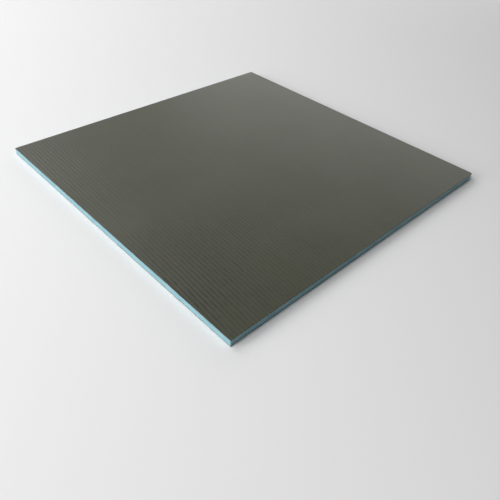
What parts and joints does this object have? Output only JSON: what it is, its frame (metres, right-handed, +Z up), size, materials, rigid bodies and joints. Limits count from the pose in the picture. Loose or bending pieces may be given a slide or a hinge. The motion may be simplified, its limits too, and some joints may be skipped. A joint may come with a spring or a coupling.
{
  "type": "foam tile backer board",
  "caption": "Square foam backer board with a blue foam core between two mesh-reinforced dark mortar skins, lying flat.",
  "frame": {"origin": "middle of the underside of the board, which lies flat", "axes": "+X along the ribs of the mesh, +Y across them, +Z up through the board's thickness"},
  "size_m": [0.6, 0.6, 0.012],
  "materials": {
    "foam": "light-blue extruded polystyrene foam, saw-cut, matt, with fine closed cells",
    "glass_fibre": "woven glass yarn with an alkali-proof coat, off-white where it is cut",
    "mortar": "dark grey-brown polymer mortar, smooth, with a dull sheen and the fine even ribs of the mesh under it"
  },
  "bodies": {
    "root": {"foam_core": "foam", "top_mesh": "glass_fibre", "top_coating": "mortar", "bottom_mesh": "glass_fibre", "bottom_coating": "mortar"}
  },
  "joints": []
}
